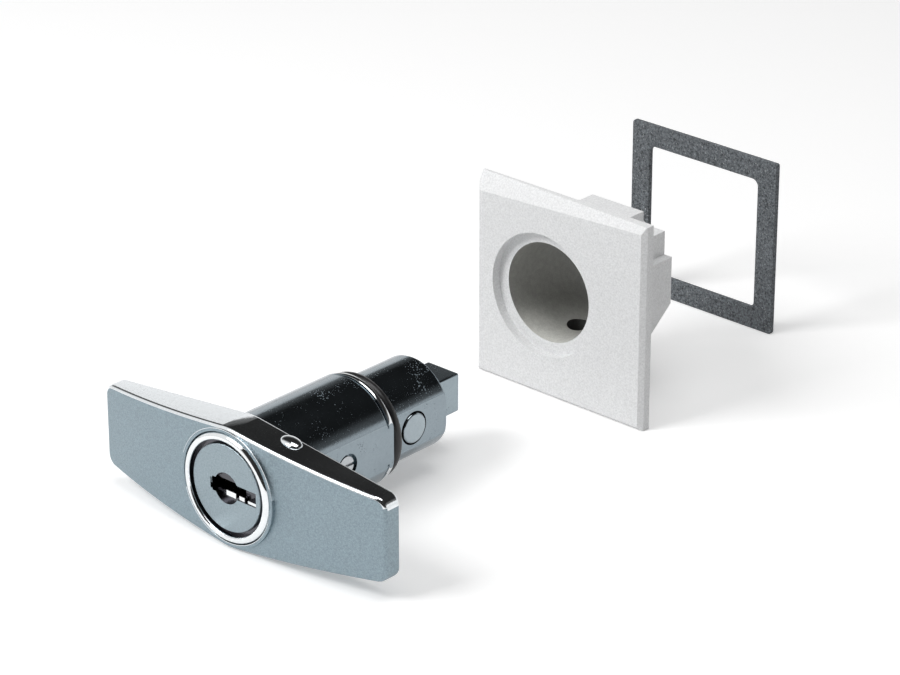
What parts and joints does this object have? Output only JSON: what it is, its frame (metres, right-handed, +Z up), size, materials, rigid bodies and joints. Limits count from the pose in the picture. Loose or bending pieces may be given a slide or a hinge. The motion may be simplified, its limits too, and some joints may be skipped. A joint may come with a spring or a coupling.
{
  "type": "t-handle cabinet lock",
  "caption": "T-handle lock unit with a keyed cylinder, flatted barrel and square drive, shown with its square bezel housing and flat gasket beside it.",
  "frame": {"origin": "centre of the key face, on the axis of the barrel", "axes": "+X right along the grip, +Y back along the barrel towards the square drive, +Z up"},
  "size_m": [0.072, 0.1422, 0.043],
  "materials": {
    "satin_chrome": "satin chrome over a zinc casting, polished along the edges",
    "polished_chrome": "bright polished chrome rim",
    "satin_steel": "fine satin plug face",
    "dark_chrome": "bright chrome over a slightly grainy casting",
    "square_steel": "chromed spindle",
    "button_steel": "chromed button",
    "screw_steel": "plated steel",
    "spring_steel": "spring steel",
    "zinc": "plain zinc",
    "brass_wafer": "stamped brass",
    "black_rubber": "smooth black rubber ring",
    "white_plastic": "fine-grained light grey white moulding",
    "grey_foam": "dark grey closed-cell foam with a speckled skin"
  },
  "bodies": {
    "root": {"barrel_sleeve": "dark_chrome", "barrel_seal": "black_rubber", "stop_screw": "screw_steel", "button_spring": "spring_steel", "bezel_housing": "white_plastic", "gasket": "grey_foam"},
    "handle": {"t_handle": "satin_chrome", "cylinder_shell": "polished_chrome", "cylinder_screw": "screw_steel", "drive_spindle": "square_steel", "drive_pin": "screw_steel", "lug_pin": "screw_steel"},
    "plug": {"cylinder_plug": "satin_steel", "plug_clip": "spring_steel", "bolt_cam": "zinc"},
    "bolt": {"lock_bolt": "zinc"},
    "button": {"snap_button": "button_steel"},
    "wafer_1": {"wafer_1": "brass_wafer"},
    "wafer_2": {"wafer_2": "brass_wafer"},
    "wafer_3": {"wafer_3": "brass_wafer"},
    "wafer_4": {"wafer_4": "brass_wafer"},
    "wafer_5": {"wafer_5": "brass_wafer"}
  },
  "joints": [
    {"name": "handle_turn", "type": "hinge", "parent": "root", "child": "handle", "pos_m": [0, 0.02, 0], "axis": [0, -1, 0], "range_deg": [0, 90]},
    {"name": "key_turn", "type": "hinge", "parent": "handle", "child": "plug", "pos_m": [0, 0.01, 0], "axis": [0, 1, 0], "range_deg": [0, 90]},
    {"name": "bolt_slide", "type": "slide", "parent": "handle", "child": "bolt", "axis": [-1, 0, 0], "range_m": [0, 0.0016]},
    {"name": "button_press", "type": "slide", "parent": "root", "child": "button", "axis": [-1, 0, 0], "range_m": [0, 0.0012], "stiffness_N_per_m": 800, "springref_m": -0.001, "deforming": ["button_spring"]},
    {"name": "wafer_1_slide", "type": "slide", "parent": "plug", "child": "wafer_1", "axis": [1, 0, 0], "range_m": [0, 0.0008]},
    {"name": "wafer_2_slide", "type": "slide", "parent": "plug", "child": "wafer_2", "axis": [1, 0, 0], "range_m": [0, 0.0008]},
    {"name": "wafer_3_slide", "type": "slide", "parent": "plug", "child": "wafer_3", "axis": [1, 0, 0], "range_m": [0, 0.0008]},
    {"name": "wafer_4_slide", "type": "slide", "parent": "plug", "child": "wafer_4", "axis": [1, 0, 0], "range_m": [0, 0.0008]},
    {"name": "wafer_5_slide", "type": "slide", "parent": "plug", "child": "wafer_5", "axis": [1, 0, 0], "range_m": [0, 0.0008]}
  ],
  "couplings": [
    {"joint": "bolt_slide", "follows": "key_turn", "m_per_rad": 0.001018}
  ]
}
